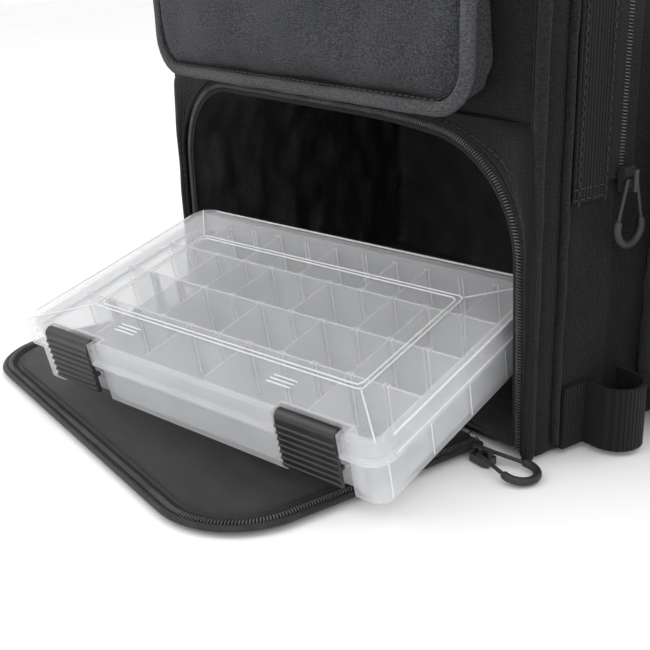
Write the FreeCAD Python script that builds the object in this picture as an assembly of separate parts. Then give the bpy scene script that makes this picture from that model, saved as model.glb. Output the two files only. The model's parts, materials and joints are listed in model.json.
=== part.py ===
import FreeCAD, Part
import math
import os

# Tackle backpack with a drop-down tray pocket at its foot and one lidded tackle tray half drawn out.
# Frame: millimetres, +Z up, front of the bag faces -Y, origin at the centre of the base, on the floor.

V = FreeCAD.Vector
TOUCHING = 1e-6
X_AXIS = V(1, 0, 0)
Y_AXIS = V(0, 1, 0)
Z_AXIS = V(0, 0, 1)

# ---- tackle tray ------------------------------------------------------------------------------
TRAY_LENGTH = 275.0
TRAY_WIDTH = 168.0
TRAY_HEIGHT = 41.5
TRAY_CORNER = 13.0
TRAY_WALL = 1.8
LID_SKIRT = 12.5
LID_THICKNESS = 1.6
LID_PANEL_INSET = 34.5
LID_PANEL_RISE = 0.8
BASE_INSET = 5.0
FLANGE_THICKNESS = 1.6
TRAY_CLEARANCE = 0.4
ROWS = 4
SLOTS = 10
ROW_WALL = 1.4
RIB = 1.0
RIB_DEPTH = 1.3
SLOT_GAP = 1.7
DIVIDER = 1.2
ROW_WALL_DROP = 3.0

# ---- tray latches and tray hinge ------------------------------------------------------------------
LATCH_WIDTH = 38.0
LATCH_FROM_END = 45.5
LATCH_SIDE_GAP = 1.5
LATCH_SKIN = 2.2
LATCH_FOOT = 7.0
LATCH_BARREL = 4.0
LATCH_RIBS = 7
LATCH_RIB_HEIGHT = 0.7
BAY_DEPTH = 10.0
LID_SWING_ROOM = 0.6
PIN_RADIUS = 1.5
PIN_CLEARANCE = 0.08
LEDGE_Z = 17.0
LEDGE_THICKNESS = 2.0
KNUCKLE_RADIUS = 3.0
KNUCKLE_LENGTH = 12.0
EAR_LENGTH = 4.5
KNUCKLE_FROM_END = 40.0

# ---- how the tray lies in the pocket mouth ----------------------------------------------------------
TRAY_YAW = 15.5
TRAY_TILT = 12.5
TRAY_LEAN = 1.7
TRAY_OUT = 57.6
TRAY_SIDE_GAP = 4.0
TRAY_REST_GAP = 1.2

# ---- bag ----------------------------------------------------------------------------------------
TRAYS_HELD = 4
OPENING_BOTTOM = 7.0
STACK_ROOM = 1.0
OPENING_SIDE_ROOM = 34.5
OPENING_CORNER = 60.0
FRAME_BORDER = 14.0
ZIP_BAND = 4.0
ZIP_DEPTH = 2.0
POCKET_END_ROOM = 46.0
PANEL = 4.0
BACK_PANEL = 12.0
CEILING_RISE = 8.0
BAG_HEIGHT = 460.0
SHOULDER_RADIUS = 60.0
BASE_CORNER = 18.0

# ---- tray flap ----------------------------------------------------------------------------------
FLAP_THICKNESS = 6.5
FLAP_ZIP_HEIGHT = 1.0
FLAP_ZIP_INSET = 3.0
FLAP_ZIP_WIDTH = 6.0
FLAP_HINGE_Z = 4.0
FLAP_GAP = 0.5
FLAP_SIDE_INSET = 9.0
FLAP_OVERLAP = 8.0
FLAP_CORNER = 50.0
FLAP_ROOT = 1.0

# ---- pockets, trim and webbing --------------------------------------------------------------------
POCKET_SKIN = 3.0
FRONT_POCKET_SIDE_INSET = 24.0
FRONT_POCKET_FLOOR_GAP = 1.0
FRONT_POCKET_HEIGHT = 205.0
FRONT_POCKET_DEPTH = 22.0
FRONT_POCKET_ZIP_OUT = 14.0
FRONT_POCKET_CORNER = 27.0
SIDE_POCKET_FRONT = 77.0
SIDE_POCKET_REAR = 23.0
SIDE_POCKET_FLOOR = 12.0
SIDE_POCKET_HEIGHT = 223.0
SIDE_POCKET_DEPTH = 26.0
SIDE_POCKET_CORNER = 28.0
PIPING = 5.0
SIDE_PIPING_SETBACK = 20.0
WEBBING = 36.0
WEBBING_THICKNESS = 2.4
SIDE_WEBBING_SETBACK = 36.5
SIDE_WEBBING_FOOT = 140.0
MAIN_ZIP_SETBACK = 60.0
MAIN_ZIP_WIDTH = 8.0
MAIN_ZIP_THICKNESS = 1.5
MAIN_ZIP_FOOT = 148.0
ROD_LOOP_FLOOR = 3.0
ROD_LOOP_REACH = 27.0
ROD_LOOP_FRONT = 24.0
ROD_LOOP_REAR = 71.0
ROD_LOOP_FLAT = 16.0

# ---- sliders and pulls --------------------------------------------------------------------------
SLIDER_LENGTH = 13.0
SLIDER_WIDTH = 9.0
SLIDER_THICKNESS = 4.5
SLIDER_GAP = 0.4
SLIDER_TAIL_SHARE = 0.7
SLIDER_NOSE_SHARE = 0.8
SLIDER_WIDEST_SHARE = 0.4
BRIDGE_WIDTH = 3.0
BRIDGE_BAR = 1.2
BRIDGE_HOLE = 3.4
BRIDGE_SPAN = 9.0
PULL_CORD = 1.1
PULL_GRIP = 2.3
PULL_LENGTH = 34.0
PULL_RADIUS = 9.5
PULL_EYE = 3.6
TRAY_PULL_TURN = 8.0
TRAY_SLIDER_OUT = 16.0

# ---- carrying gear --------------------------------------------------------------------------------
STRAP_WIDTH = 68.0
STRAP_THICKNESS = 12.0
STRAP_SPACING = 82.0
STRAP_TOP = 425.0
STRAP_BOTTOM = 140.0
STRAP_STAND = 34.0
STRAP_PAD_GAP = 1.0
STRAP_LOCK_GAP = 6.0
STRAP_STEPS = 8
STRAP_FULLNESS = 0.8
PAD_THICKNESS = 10.0
PAD_WIDTH = 62.0
PAD_HEIGHT = 290.0
PAD_FLOOR = 70.0
PAD_OFFSET = 36.0
TAIL_WIDTH = 25.0
TAIL_THICKNESS = 2.0
LOCK_WIDTH = 34.0
LOCK_HEIGHT = 26.0
LOCK_THICKNESS = 5.0
LOCK_BAR = 4.0
HANDLE_HALF = 60.0
HANDLE_RISE = 38.0
HANDLE_STRIP = 20.0
HANDLE_THICKNESS = 4.0
HANDLE_SETBACK = 7.0
HANDLE_GAP = 0.6

# ---- sizes that follow ----------------------------------------------------------------------------
OPENING_HALF = TRAY_LENGTH / 2 + OPENING_SIDE_ROOM
OPENING_TOP = OPENING_BOTTOM + TRAYS_HELD * TRAY_HEIGHT + STACK_ROOM
BAG_HALF = OPENING_HALF + ZIP_BAND + FRAME_BORDER
BAG_DEPTH = TRAY_WIDTH + POCKET_END_ROOM + PANEL + BACK_PANEL
FRONT = -BAG_DEPTH / 2
BACK = BAG_DEPTH / 2
CEILING = OPENING_TOP + CEILING_RISE
SHOULDER = BAG_HEIGHT - SHOULDER_RADIUS
FLAP_HALF = OPENING_HALF - FLAP_SIDE_INSET
FLAP_TOP = FLAP_THICKNESS + FLAP_ZIP_HEIGHT
FLAP_HINGE_Y = FRONT - (FLAP_TOP - FLAP_HINGE_Z) - FLAP_GAP
FLAP_LENGTH = OPENING_TOP - FLAP_HINGE_Z + FLAP_OVERLAP
LATCH_CENTRE = TRAY_LENGTH / 2 - LATCH_FROM_END
LATCH_PIVOT_Y = -TRAY_WIDTH / 2 + LATCH_BARREL
LATCH_PIVOT_Z = TRAY_HEIGHT - LATCH_BARREL
LID_FOOT = TRAY_HEIGHT - LID_SKIRT
LID_HINGE_Y = TRAY_WIDTH / 2 + KNUCKLE_RADIUS - TRAY_CLEARANCE
LID_HINGE_Z = LID_FOOT
KNUCKLE_CENTRE = TRAY_LENGTH / 2 - KNUCKLE_FROM_END


def box(x0, x1, y0, y1, z0, z1):
    return Part.makeBox(x1 - x0, y1 - y0, z1 - z0, V(x0, y0, z0))


def cylinder(radius, start, end):
    path = end - start
    return Part.makeCylinder(radius, path.Length, start, path)


def arc_through(centre, radius, start, end):
    """Points at the start, middle and end of an arc, angles in degrees."""
    middle = (start + end) / 2
    angles = [math.radians(a) for a in (start, middle, end)]
    return [(centre[0] + radius * math.cos(a), centre[1] + radius * math.sin(a)) for a in angles]


def outline(steps, place):
    """A closed face from steps: two points make a line, three make an arc."""
    edges = []
    for step in steps:
        points = [place(u, v) for u, v in step]
        if len(points) == 2:
            edges.append(Part.LineSegment(*points).toShape())
        else:
            edges.append(Part.Arc(*points).toShape())
    return Part.Face(Part.Wire(edges))


def rounded_steps(u0, u1, v0, v1, low_radius, top_radius):
    """A rectangle with its two low corners and its two top corners rounded."""
    corners = [((u1, v0), low_radius, 270), ((u1, v1), top_radius, 0),
               ((u0, v1), top_radius, 90), ((u0, v0), low_radius, 180)]
    signs = [(-1, 1), (-1, -1), (1, -1), (1, 1)]
    arcs = []
    for (corner, radius, angle), (su, sv) in zip(corners, signs):
        if radius > 0:
            centre = (corner[0] + su * radius, corner[1] + sv * radius)
            arcs.append(arc_through(centre, radius, angle, angle + 90))
        else:
            arcs.append([corner])
    steps = []
    for index, arc in enumerate(arcs):
        if len(arc) == 3:
            steps.append(arc)
        start, end = arc[-1], arcs[(index + 1) % len(arcs)][0]
        if math.dist(start, end) > TOUCHING:
            steps.append([start, end])
    return steps


def plan_slab(u0, u1, v0, v1, radius, z0, z1):
    face = outline(rounded_steps(u0, u1, v0, v1, radius, radius), lambda u, v: V(u, v, z0))
    return face.extrude(V(0, 0, z1 - z0))


def front_slab(x0, x1, z0, z1, low_radius, top_radius, y0, y1):
    """A panel that faces the front, drawn in X and Z."""
    face = outline(rounded_steps(x0, x1, z0, z1, low_radius, top_radius), lambda u, v: V(u, y0, v))
    return face.extrude(V(0, y1 - y0, 0))


def side_slab(y0, y1, z0, z1, radius, x0, x1):
    """A panel that faces the side, drawn in Y and Z."""
    face = outline(rounded_steps(y0, y1, z0, z1, radius, radius), lambda u, v: V(x0, u, v))
    return face.extrude(V(x1 - x0, 0, 0))


def mirrored(shape):
    return shape.mirror(V(0, 0, 0), X_AXIS)


def sided(shape, side):
    return shape if side > 0 else mirrored(shape)


def fused(shapes):
    return shapes[0].multiFuse(shapes[1:]).removeSplitter()


def save(shape, node):
    shape.exportStep("parts/" + node + ".step")


# ---- the tray's place -------------------------------------------------------------------------------
def tray_rotation():
    yaw = FreeCAD.Rotation(Z_AXIS, TRAY_YAW)
    tilt = FreeCAD.Rotation(X_AXIS, TRAY_TILT)
    lean = FreeCAD.Rotation(Y_AXIS, TRAY_LEAN)
    return yaw.multiply(tilt).multiply(lean)


def tray_placement():
    """Front foot just over the flap, right side just clear of the opening, centre drawn out."""
    turn = tray_rotation()
    foot_x = TRAY_LENGTH / 2 - BASE_INSET
    foot_y = TRAY_WIDTH / 2 - BASE_INSET
    feet = [turn.multVec(V(sx * foot_x, sy * foot_y, 0)).z for sx in (-1, 1) for sy in (-1, 1)]
    centre_y = FRONT - TRAY_OUT
    along = turn.multVec(Y_AXIS)
    edge = turn.multVec(V(TRAY_LENGTH / 2, 0, TRAY_HEIGHT))
    reach = (FRONT - centre_y - edge.y) / along.y
    centre_x = OPENING_HALF - TRAY_SIDE_GAP - edge.x - reach * along.x
    centre_z = FLAP_TOP + TRAY_REST_GAP - min(feet)
    return FreeCAD.Placement(V(centre_x, centre_y, centre_z), turn)


def placed_tray_part(shape):
    return shape.transformGeometry(tray_placement().toMatrix())


# ---- the tray's pieces, drawn with the tray flat and its centre at the origin ---------------------------
def latch_bay(grow, depth, z0, z1):
    half = LATCH_WIDTH / 2 + LATCH_SIDE_GAP + grow
    front = -TRAY_WIDTH / 2
    return [box(side * LATCH_CENTRE - half, side * LATCH_CENTRE + half, front - 1, front + depth, z0, z1)
            for side in (-1, 1)]


def tray_block(inset, bay_grow, bay_depth, z0, z1):
    half_x = TRAY_LENGTH / 2 - inset
    half_y = TRAY_WIDTH / 2 - inset
    radius = max(TRAY_CORNER - inset, TRAY_WALL)
    block = plan_slab(-half_x, half_x, -half_y, half_y, radius, z0, z1)
    return block.cut(Part.makeCompound(latch_bay(bay_grow, bay_depth, z0 - 1, z1 + 1)))


def slot_positions():
    pitch = (TRAY_LENGTH - 2 * (BASE_INSET + TRAY_WALL)) / (SLOTS + 1)
    return [pitch * (index - (SLOTS - 1) / 2) for index in range(SLOTS)]


def row_edges():
    """Centre lines of the long walls and of the front and back walls."""
    half = TRAY_WIDTH / 2 - BASE_INSET - TRAY_WALL
    front = -TRAY_WIDTH / 2 + BAY_DEPTH + LID_SWING_ROOM + TRAY_WALL
    pitch = (half - front) / ROWS
    return [front + pitch * index for index in range(ROWS + 1)]


def ribbed_wall(y, half_x, top):
    """A long wall with a pair of slot ribs on both faces at each slot, as one extruded plan."""
    thin = ROW_WALL / 2
    thick = thin + RIB_DEPTH
    stations = [(-half_x, thin)]
    for slot in slot_positions():
        near = SLOT_GAP / 2
        far = near + RIB
        for edge, wide in ((-far, True), (-near, False), (near, True), (far, False)):
            before, after = (thin, thick) if wide else (thick, thin)
            stations.append((slot + edge, before))
            stations.append((slot + edge, after))
    stations.append((half_x, thin))
    front = [V(x, y - d, TRAY_WALL) for x, d in stations]
    rear = [V(x, y + d, TRAY_WALL) for x, d in reversed(stations)]
    loop = front + rear + [front[0]]
    return Part.Face(Part.makePolygon(loop)).extrude(V(0, 0, top - TRAY_WALL))


def tray_base():
    rim = LID_FOOT - TRAY_CLEARANCE
    wall_top = TRAY_HEIGHT - LID_THICKNESS - TRAY_CLEARANCE
    wall = BASE_INSET
    depth = BAY_DEPTH + LID_SWING_ROOM
    outer = tray_block(wall, TRAY_WALL, depth, 0, wall_top)
    inner = tray_block(wall + TRAY_WALL, 2 * TRAY_WALL, depth + TRAY_WALL, TRAY_WALL, wall_top + 1)
    flange = tray_block(0, 0, depth, rim - FLANGE_THICKNESS, rim).cut(
        tray_block(wall, TRAY_WALL, depth, 0, wall_top))
    half_x = TRAY_LENGTH / 2 - wall - TRAY_WALL
    rows = [ribbed_wall(y, half_x + TRAY_WALL / 2, wall_top - ROW_WALL_DROP) for y in row_edges()[1:-1]]
    ledges = []
    for side in (-1, 1):
        centre = side * LATCH_CENTRE
        half = LATCH_WIDTH / 2 + LATCH_SIDE_GAP
        bay_wall = -TRAY_WIDTH / 2 + depth
        ledges.append(box(centre - half, centre + half, -TRAY_WIDTH / 2 + BASE_INSET, bay_wall,
                          LEDGE_Z, LEDGE_Z + LEDGE_THICKNESS))
    shell = outer.cut(inner)
    body = fused([shell, flange] + rows + ledges + base_knuckles())
    return body.cut(Part.makeCompound(knuckle_bores() + barrel_relief()))


def base_knuckles():
    """Two ears at each end of each hinge: they carry the lid's hinge pins."""
    ears = []
    for side in (-1, 1):
        for offset in (-1, 1):
            start = side * KNUCKLE_CENTRE + offset * (KNUCKLE_LENGTH / 2 + TRAY_CLEARANCE)
            end = start + offset * EAR_LENGTH
            low, high = min(start, end), max(start, end)
            ears.append(cylinder(KNUCKLE_RADIUS, V(low, LID_HINGE_Y, LID_HINGE_Z),
                                 V(high, LID_HINGE_Y, LID_HINGE_Z)))
            ears.append(box(low, high, TRAY_WIDTH / 2 - BASE_INSET - TRAY_WALL / 2, LID_HINGE_Y,
                            LID_HINGE_Z - KNUCKLE_RADIUS, LID_HINGE_Z - TRAY_CLEARANCE - FLANGE_THICKNESS / 2))
    return ears


def knuckle_bores():
    reach = KNUCKLE_LENGTH / 2 + KNUCKLE_RADIUS * 2
    bores = []
    for side in (-1, 1):
        centre = side * KNUCKLE_CENTRE
        bores.append(cylinder(PIN_RADIUS + PIN_CLEARANCE, V(centre - reach, LID_HINGE_Y, LID_HINGE_Z),
                              V(centre + reach, LID_HINGE_Y, LID_HINGE_Z)))
    return bores


def barrel_relief():
    """Room in the base's flange for the lid's hinge barrels."""
    half = KNUCKLE_LENGTH / 2 + TRAY_CLEARANCE
    return [cylinder(KNUCKLE_RADIUS + TRAY_CLEARANCE, V(side * KNUCKLE_CENTRE - half, LID_HINGE_Y, LID_HINGE_Z),
                     V(side * KNUCKLE_CENTRE + half, LID_HINGE_Y, LID_HINGE_Z)) for side in (-1, 1)]


def lid_hinges():
    """Barrel between the ears, web to the skirt, and a pin that runs through both ears."""
    pieces = []
    for side in (-1, 1):
        centre = side * KNUCKLE_CENTRE
        half = KNUCKLE_LENGTH / 2
        pin = half + TRAY_CLEARANCE + EAR_LENGTH
        pieces.append(cylinder(KNUCKLE_RADIUS, V(centre - half, LID_HINGE_Y, LID_HINGE_Z),
                               V(centre + half, LID_HINGE_Y, LID_HINGE_Z)))
        pieces.append(cylinder(PIN_RADIUS, V(centre - pin, LID_HINGE_Y, LID_HINGE_Z),
                               V(centre + pin, LID_HINGE_Y, LID_HINGE_Z)))
        pieces.append(box(centre - half, centre + half, TRAY_WIDTH / 2 - LID_THICKNESS, LID_HINGE_Y,
                          LID_HINGE_Z, LID_HINGE_Z + KNUCKLE_RADIUS))
    return pieces


def ear_relief():
    """Notches in the lid's back skirt that leave room for the base's ears."""
    cuts = []
    for side in (-1, 1):
        for offset in (-1, 1):
            start = side * KNUCKLE_CENTRE + offset * KNUCKLE_LENGTH / 2
            end = start + offset * (EAR_LENGTH + 2 * TRAY_CLEARANCE)
            cuts.append(box(min(start, end), max(start, end), TRAY_WIDTH / 2 - LID_THICKNESS * 2,
                            TRAY_WIDTH / 2 + 1, LID_FOOT - 1, LID_FOOT + KNUCKLE_RADIUS + TRAY_CLEARANCE))
    return cuts


def lid_panel():
    """The raised inner panel of the lid's top, a low hipped step."""
    half_x = TRAY_LENGTH / 2 - LID_PANEL_INSET
    half_y = TRAY_WIDTH / 2 - LID_PANEL_INSET
    top = TRAY_HEIGHT
    return plan_slab(-half_x, half_x, -half_y, half_y, TRAY_WALL, top, top + LID_PANEL_RISE)


def tray_lid():
    outer = tray_block(0, 0, BAY_DEPTH - TRAY_WALL, LID_FOOT, TRAY_HEIGHT)
    inner = tray_block(LID_THICKNESS, LID_THICKNESS, BAY_DEPTH - TRAY_WALL + LID_THICKNESS,
                       LID_FOOT - 1, TRAY_HEIGHT - LID_THICKNESS)
    pins = []
    half = LATCH_WIDTH / 2 + LATCH_SIDE_GAP
    for side in (-1, 1):
        centre = side * LATCH_CENTRE
        pins.append(cylinder(PIN_RADIUS, V(centre - half - LID_THICKNESS / 2, LATCH_PIVOT_Y, LATCH_PIVOT_Z),
                             V(centre + half + LID_THICKNESS / 2, LATCH_PIVOT_Y, LATCH_PIVOT_Z)))
    shell = outer.cut(inner).cut(Part.makeCompound(ear_relief()))
    return fused([shell, lid_panel()] + lid_hinges() + pins)


def tray_latch(side):
    """Barrel round the lid's pin, ribbed skin down the front, and a foot that stops at the base's ledge."""
    centre = side * LATCH_CENTRE
    half = LATCH_WIDTH / 2
    face = LATCH_PIVOT_Y - LATCH_BARREL
    skin = box(centre - half, centre + half, face, face + LATCH_SKIN, LATCH_FOOT, LATCH_PIVOT_Z)
    barrel = cylinder(LATCH_BARREL, V(centre - half, LATCH_PIVOT_Y, LATCH_PIVOT_Z),
                      V(centre + half, LATCH_PIVOT_Y, LATCH_PIVOT_Z))
    ledge_face = -TRAY_WIDTH / 2 + BASE_INSET
    foot = box(centre - half, centre + half, face + LATCH_SKIN / 2, ledge_face - TRAY_CLEARANCE,
               LEDGE_Z, LEDGE_Z + LEDGE_THICKNESS)
    pitch = (LATCH_PIVOT_Z - LATCH_BARREL / 2 - LATCH_FOOT) / LATCH_RIBS
    ribs = []
    for index in range(LATCH_RIBS):
        z = LATCH_FOOT + pitch * (index + 0.5)
        ribs.append(cylinder(pitch / 4, V(centre - half, face, z), V(centre + half, face, z)))
    bore = cylinder(PIN_RADIUS + PIN_CLEARANCE, V(centre - half - 1, LATCH_PIVOT_Y, LATCH_PIVOT_Z),
                    V(centre + half + 1, LATCH_PIVOT_Y, LATCH_PIVOT_Z))
    return fused([skin, barrel, foot] + ribs).cut(bore)


def tray_dividers():
    """Loose cross dividers, each held between two pairs of slot ribs."""
    edges = row_edges()
    slots = slot_positions()
    layout = [(0, (1, 3, 5, 8)), (1, (1, 2, 4, 6, 8)), (2, (1, 2, 3, 5, 7, 8)), (3, (0, 2, 4, 6, 7, 9))]
    top = TRAY_HEIGHT - LID_THICKNESS - TRAY_CLEARANCE - ROW_WALL_DROP
    play = (SLOT_GAP - DIVIDER) / 2
    plates = []
    for row, chosen in layout:
        low = edges[row] + ROW_WALL / 2 + play
        high = edges[row + 1] - ROW_WALL / 2 - play
        if row == ROWS - 1:
            high = edges[row + 1] - play
        if row == 0:
            low = edges[row] + play
        for slot in chosen:
            x = slots[slot]
            plates.append(box(x - DIVIDER / 2, x + DIVIDER / 2, low, high, TRAY_WALL + TRAY_CLEARANCE / 2, top))
    return Part.makeCompound(plates)


# ---- bag shell ----------------------------------------------------------------------------------
def base_panel():
    return plan_slab(-BAG_HALF, BAG_HALF, FRONT, BACK, BASE_CORNER, 0, PANEL)


def side_panel(side):
    return sided(box(BAG_HALF - PANEL, BAG_HALF, FRONT + PANEL, BACK - BACK_PANEL, PANEL, SHOULDER), side)


def back_panel():
    return front_slab(-BAG_HALF, BAG_HALF, PANEL, BAG_HEIGHT, 0, SHOULDER_RADIUS, BACK - BACK_PANEL, BACK)


def main_front_panel():
    return front_slab(-BAG_HALF, BAG_HALF, CEILING, BAG_HEIGHT, 0, SHOULDER_RADIUS, FRONT, FRONT + PANEL)


def arch_band(half, top, radius, thickness, foot, y0, y1):
    """A band of even thickness that goes up one side, over the top and down the other."""
    outer = front_slab(-half, half, foot, top, 0, radius, y0, y1)
    inner = front_slab(-half + thickness, half - thickness, foot - 1, top - thickness, 0,
                       radius - thickness, y0 - 1, y1 + 1)
    return outer.cut(inner)


def top_panel():
    return arch_band(BAG_HALF, BAG_HEIGHT, SHOULDER_RADIUS, PANEL, SHOULDER, FRONT + PANEL, BACK - BACK_PANEL)


def tray_pocket_ceiling():
    half = BAG_HALF - PANEL
    return box(-half, half, FRONT + PANEL, BACK - BACK_PANEL, CEILING - PANEL, CEILING)


def opening_slab(grow, y0, y1):
    half = OPENING_HALF + grow
    return front_slab(-half, half, OPENING_BOTTOM - grow / 2, OPENING_TOP + grow, 0, OPENING_CORNER + grow, y0, y1)


def tray_pocket_front():
    panel = box(-BAG_HALF, BAG_HALF, FRONT, FRONT + PANEL, PANEL, CEILING)
    return panel.cut(opening_slab(ZIP_BAND, FRONT - 1, FRONT + PANEL + 1))


def tray_opening_zip():
    """Coil and tape round the sides and top of the opening."""
    ring = opening_slab(ZIP_BAND, FRONT, FRONT + ZIP_DEPTH)
    hole = opening_slab(0, FRONT - 1, FRONT + ZIP_DEPTH + 1)
    foot = box(-BAG_HALF, BAG_HALF, FRONT - 1, FRONT + PANEL, 0, OPENING_BOTTOM)
    return ring.cut(hole).cut(foot)


# ---- flap -----------------------------------------------------------------------------------------
def flap_outline(inset, z0, z1):
    far = FLAP_HINGE_Y - FLAP_LENGTH + inset
    near = FLAP_HINGE_Y - FLAP_ROOT
    half = FLAP_HALF - inset
    face = outline(rounded_steps(-half, half, far, near, FLAP_CORNER - inset, 0), lambda u, v: V(u, v, z0))
    return face.extrude(V(0, 0, z1 - z0))


def tray_flap():
    return flap_outline(0, 0, FLAP_THICKNESS)


def flap_zip():
    outer = flap_outline(FLAP_ZIP_INSET, FLAP_THICKNESS, FLAP_TOP)
    inner = flap_outline(FLAP_ZIP_INSET + FLAP_ZIP_WIDTH, FLAP_THICKNESS - 1, FLAP_TOP + 1)
    root = box(-FLAP_HALF, FLAP_HALF, FLAP_HINGE_Y - 2 * FLAP_ZIP_WIDTH, FLAP_HINGE_Y, 0, FLAP_TOP + 1)
    return outer.cut(inner).cut(root)


# ---- pockets and trim -------------------------------------------------------------------------------
def front_pocket_sizes():
    half = BAG_HALF - FRONT_POCKET_SIDE_INSET
    floor = CEILING + FRONT_POCKET_FLOOR_GAP
    return half, floor, floor + FRONT_POCKET_HEIGHT


def front_pocket():
    half, floor, top = front_pocket_sizes()
    skin = POCKET_SKIN
    face = FRONT - FRONT_POCKET_DEPTH
    outer = front_slab(-half, half, floor, top, FRONT_POCKET_CORNER, FRONT_POCKET_CORNER, face, FRONT)
    inner = front_slab(-half + skin, half - skin, floor + skin, top - skin, FRONT_POCKET_CORNER - skin,
                       FRONT_POCKET_CORNER - skin, face + skin, FRONT - skin)
    return outer.cut(inner)


def front_pocket_piping():
    half, floor, top = front_pocket_sizes()
    face = FRONT - FRONT_POCKET_DEPTH
    radius = FRONT_POCKET_CORNER
    outer = front_slab(-half, half, floor, top, radius, radius, face - PIPING, face)
    inner = front_slab(-half + PIPING, half - PIPING, floor + PIPING, top - PIPING, radius - PIPING,
                       radius - PIPING, face - PIPING - 1, face + 1)
    return outer.cut(inner)


def front_pocket_zip():
    half, floor, top = front_pocket_sizes()
    reach = half - FRONT_POCKET_CORNER
    y = FRONT - FRONT_POCKET_ZIP_OUT
    return box(-reach, reach, y - MAIN_ZIP_WIDTH / 2, y + MAIN_ZIP_WIDTH / 2, top, top + MAIN_ZIP_THICKNESS)


def side_pocket_slab(inset, x0, x1):
    return side_slab(FRONT + SIDE_POCKET_FRONT + inset, BACK - SIDE_POCKET_REAR - inset,
                     SIDE_POCKET_FLOOR + inset, SIDE_POCKET_FLOOR + SIDE_POCKET_HEIGHT - inset,
                     SIDE_POCKET_CORNER - inset, x0, x1)


def side_pocket(side):
    outer = side_pocket_slab(0, BAG_HALF, BAG_HALF + SIDE_POCKET_DEPTH)
    inner = side_pocket_slab(POCKET_SKIN, BAG_HALF + POCKET_SKIN, BAG_HALF + SIDE_POCKET_DEPTH - POCKET_SKIN)
    return sided(outer.cut(inner), side)


def side_pocket_piping(side):
    face = BAG_HALF + SIDE_POCKET_DEPTH
    outer = side_pocket_slab(0, face, face + PIPING / 2)
    inner = side_pocket_slab(PIPING, face - 1, face + PIPING)
    return sided(outer.cut(inner), side)


def side_piping(side):
    y = FRONT + SIDE_PIPING_SETBACK
    return sided(box(BAG_HALF, BAG_HALF + PIPING / 2, y - PIPING / 2, y + PIPING / 2, OPENING_BOTTOM, SHOULDER), side)


def side_webbing(side):
    y = FRONT + SIDE_WEBBING_SETBACK
    return sided(box(BAG_HALF, BAG_HALF + WEBBING_THICKNESS, y - WEBBING / 2 + PIPING, y + WEBBING / 2 - PIPING,
                     SIDE_WEBBING_FOOT, SHOULDER), side)


def main_zip():
    y = FRONT + MAIN_ZIP_SETBACK
    grow = MAIN_ZIP_THICKNESS
    return arch_band(BAG_HALF + grow, BAG_HEIGHT + grow, SHOULDER_RADIUS + grow, grow, MAIN_ZIP_FOOT,
                     y - MAIN_ZIP_WIDTH / 2, y + MAIN_ZIP_WIDTH / 2)


def rod_loop(side):
    """A band of webbing sewn flat at its front end, standing out in a loop, and sewn again behind."""
    thick = WEBBING_THICKNESS
    front = FRONT + ROD_LOOP_FRONT
    leave = front + ROD_LOOP_FLAT
    rear = FRONT + ROD_LOOP_REAR
    radius = (rear - leave) / 2
    middle = (leave + rear) / 2
    wall = BAG_HALF
    out = wall + ROD_LOOP_REACH - radius
    steps = [[(wall, front), (wall + thick, front)],
             [(wall + thick, front), (wall + thick, leave)],
             [(wall + thick, leave), (out, leave)],
             arc_through((out, middle), radius, -90, 90),
             [(out, rear), (wall, rear)],
             [(wall, rear), (wall, rear - thick)],
             [(wall, rear - thick), (out, rear - thick)],
             list(reversed(arc_through((out, middle), radius - thick, -90, 90))),
             [(out, leave + thick), (wall, leave + thick)],
             [(wall, leave + thick), (wall, front)]]
    face = outline(steps, lambda u, v: V(u, v, ROD_LOOP_FLOOR))
    return sided(face.extrude(V(0, 0, WEBBING)), side)


# ---- sliders and pulls, drawn with the track along Z and the sewn surface facing +X -----------------------
def slider():
    half = SLIDER_LENGTH / 2
    body = slider_body(half)
    bar_in = SLIDER_THICKNESS + BRIDGE_HOLE
    span = BRIDGE_SPAN / 2
    frame = box(SLIDER_THICKNESS - 1, bar_in + BRIDGE_BAR, -BRIDGE_WIDTH / 2, BRIDGE_WIDTH / 2,
                -span - BRIDGE_BAR, span + BRIDGE_BAR)
    hole = box(SLIDER_THICKNESS, bar_in, -BRIDGE_WIDTH, BRIDGE_WIDTH, -span, span)
    return fused([body, frame.cut(hole)])


def slider_body(half):
    """The slider's body: wide at its nose and narrow at its tail."""
    wide = SLIDER_WIDTH / 2
    tail = wide * SLIDER_TAIL_SHARE
    nose = wide * SLIDER_NOSE_SHARE
    widest = half * SLIDER_WIDEST_SHARE
    points = [V(0, -tail, -half), V(0, tail, -half), V(0, wide, widest), V(0, nose, half),
              V(0, -nose, half), V(0, -wide, widest), V(0, -tail, -half)]
    return Part.Face(Part.makePolygon(points)).extrude(V(SLIDER_THICKNESS, 0, 0))


def pull_axis_height():
    return SLIDER_THICKNESS + BRIDGE_HOLE / 2


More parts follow.
